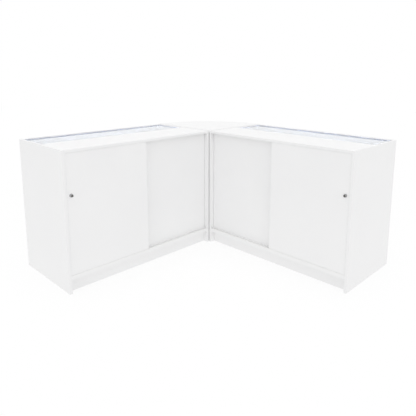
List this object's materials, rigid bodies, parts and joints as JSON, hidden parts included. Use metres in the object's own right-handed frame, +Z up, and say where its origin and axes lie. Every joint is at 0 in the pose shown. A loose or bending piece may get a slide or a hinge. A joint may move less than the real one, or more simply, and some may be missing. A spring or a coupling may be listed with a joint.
{
  "type": "shop counter",
  "caption": "L-shaped white shop counter with sunken glass display tops, staff-side worktops, locking sliding doors and a quarter-round corner unit.",
  "frame": {"origin": "on the floor, under the middle of the L's bounding square", "axes": "+Z up; the left counter runs along X with its staff face towards -Y, the right counter runs along Y with its staff face towards -X, and the round corner is at +X +Y"},
  "size_m": [1.8026, 1.8026, 0.904],
  "materials": {
    "white_melamine": "particle board with satin white melamine faces and white plastic edging",
    "clear_glass": "clear, polished edges",
    "anodised_aluminium": "satin anodised",
    "opal_plastic": "opal, cool white light behind",
    "white_plastic": "moulded nylon",
    "bright_chrome": "polished chrome plate",
    "plated_steel": "bright zinc plate",
    "dull_brass": "nickel-washed brass, worn at the key slot",
    "cast_zinc": "as-cast zinc"
  },
  "bodies": {
    "carcass": {"left_outer_end_panel": "white_melamine", "left_inner_end_panel": "white_melamine", "left_customer_panel": "white_melamine", "left_deck_panel": "white_melamine", "left_bottom_panel": "white_melamine", "left_plinth": "white_melamine", "left_display_shelf": "white_melamine", "left_storage_shelf": "white_melamine", "left_glass_rail_staff": "white_melamine", "left_glass_rail_customer": "white_melamine", "left_glass_top": "clear_glass", "left_light_channel": "anodised_aluminium", "left_light_diffuser": "opal_plastic", "left_upper_track": "white_plastic", "left_lower_track": "white_plastic", "left_lock_keep": "plated_steel", "right_outer_end_panel": "white_melamine", "right_inner_end_panel": "white_melamine", "right_customer_panel": "white_melamine", "right_deck_panel": "white_melamine", "right_bottom_panel": "white_melamine", "right_plinth": "white_melamine", "right_display_shelf": "white_melamine", "right_storage_shelf": "white_melamine", "right_glass_rail_staff": "white_melamine", "right_glass_rail_customer": "white_melamine", "right_glass_top": "clear_glass", "right_light_channel": "anodised_aluminium", "right_light_diffuser": "opal_plastic", "right_upper_track": "white_plastic", "right_lower_track": "white_plastic", "right_lock_keep": "plated_steel", "corner_top": "white_melamine", "corner_left_side": "white_melamine", "corner_right_side": "white_melamine", "corner_curved_panel": "white_melamine", "corner_base": "white_melamine", "corner_former": "white_melamine", "cam_bolts": "plated_steel", "shelf_pins": "plated_steel", "keep_screws": "plated_steel", "connector_sleeves": "plated_steel", "connector_screws": "plated_steel", "cam_discs": "cast_zinc"},
    "left_front_sliding_door": {"left_front_door": "white_melamine", "left_front_door_runners": "white_plastic", "left_lock_housing": "bright_chrome", "left_lock_nut": "plated_steel"},
    "left_rear_sliding_door": {"left_rear_door": "white_melamine", "left_rear_door_runners": "white_plastic"},
    "left_lock_button": {"left_lock_plunger": "bright_chrome"},
    "left_lock_key_barrel": {"left_lock_plug": "dull_brass"},
    "right_front_sliding_door": {"right_front_door": "white_melamine", "right_front_door_runners": "white_plastic", "right_lock_housing": "bright_chrome", "right_lock_nut": "plated_steel"},
    "right_rear_sliding_door": {"right_rear_door": "white_melamine", "right_rear_door_runners": "white_plastic"},
    "right_lock_button": {"right_lock_plunger": "bright_chrome"},
    "right_lock_key_barrel": {"right_lock_plug": "dull_brass"}
  },
  "joints": [
    {"name": "left_front_door_slide", "type": "slide", "parent": "carcass", "child": "left_front_sliding_door", "axis": [1, 0, 0], "range_m": [0, 0.575]},
    {"name": "left_rear_door_slide", "type": "slide", "parent": "carcass", "child": "left_rear_sliding_door", "axis": [1, 0, 0], "range_m": [-0.5715, 0]},
    {"name": "left_lock_push", "type": "slide", "parent": "left_front_sliding_door", "child": "left_lock_button", "axis": [0, 1, 0], "range_m": [0, 0.0085]},
    {"name": "left_lock_turn", "type": "hinge", "parent": "left_lock_button", "child": "left_lock_key_barrel", "pos_m": [-0.85625, 0.29325, 0.622], "axis": [0, 1, 0], "range_deg": [0, 90]},
    {"name": "right_front_door_slide", "type": "slide", "parent": "carcass", "child": "right_front_sliding_door", "axis": [0, 1, 0], "range_m": [0, 0.575]},
    {"name": "right_rear_door_slide", "type": "slide", "parent": "carcass", "child": "right_rear_sliding_door", "axis": [0, 1, 0], "range_m": [-0.5715, 0]},
    {"name": "right_lock_push", "type": "slide", "parent": "right_front_sliding_door", "child": "right_lock_button", "axis": [1, 0, 0], "range_m": [0, 0.0085]},
    {"name": "right_lock_turn", "type": "hinge", "parent": "right_lock_button", "child": "right_lock_key_barrel", "pos_m": [0.29325, -0.85625, 0.622], "axis": [1, 0, 0], "range_deg": [0, 90]}
  ]
}
